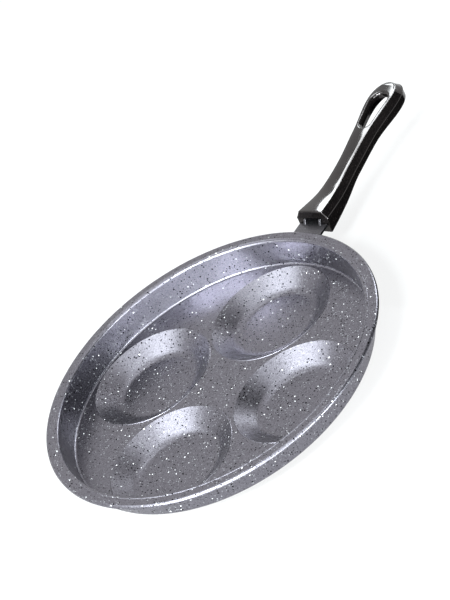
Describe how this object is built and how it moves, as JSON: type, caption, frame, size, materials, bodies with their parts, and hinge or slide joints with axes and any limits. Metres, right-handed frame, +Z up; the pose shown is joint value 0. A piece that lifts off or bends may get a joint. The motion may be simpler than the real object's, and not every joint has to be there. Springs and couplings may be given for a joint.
{
  "type": "pancake pan",
  "caption": "Round shallow stovetop pan with pressed cups in its floor for small pancakes or eggs, a speckled non-stick coat and a moulded handle with a hanging hole on a welded bracket.",
  "frame": {"origin": "middle of the whole object in plan, on the plane that the four cups stand on", "axes": "+X from the pan towards the handle's tip, +Z up out of the dish"},
  "size_m": [0.4128, 0.26, 0.0441],
  "materials": {
    "stone_coat": "satin grey non-stick coat with black and white specks",
    "bracket_coat": "satin grey coat with specks",
    "phenolic": "glossy black moulded phenolic",
    "zinc_steel": "zinc plated"
  },
  "bodies": {
    "root": {"pan_body": "stone_coat", "handle_bracket": "bracket_coat", "handle": "phenolic", "handle_screw": "zinc_steel", "lock_washer": "zinc_steel", "tongue_nut": "zinc_steel"}
  },
  "joints": []
}
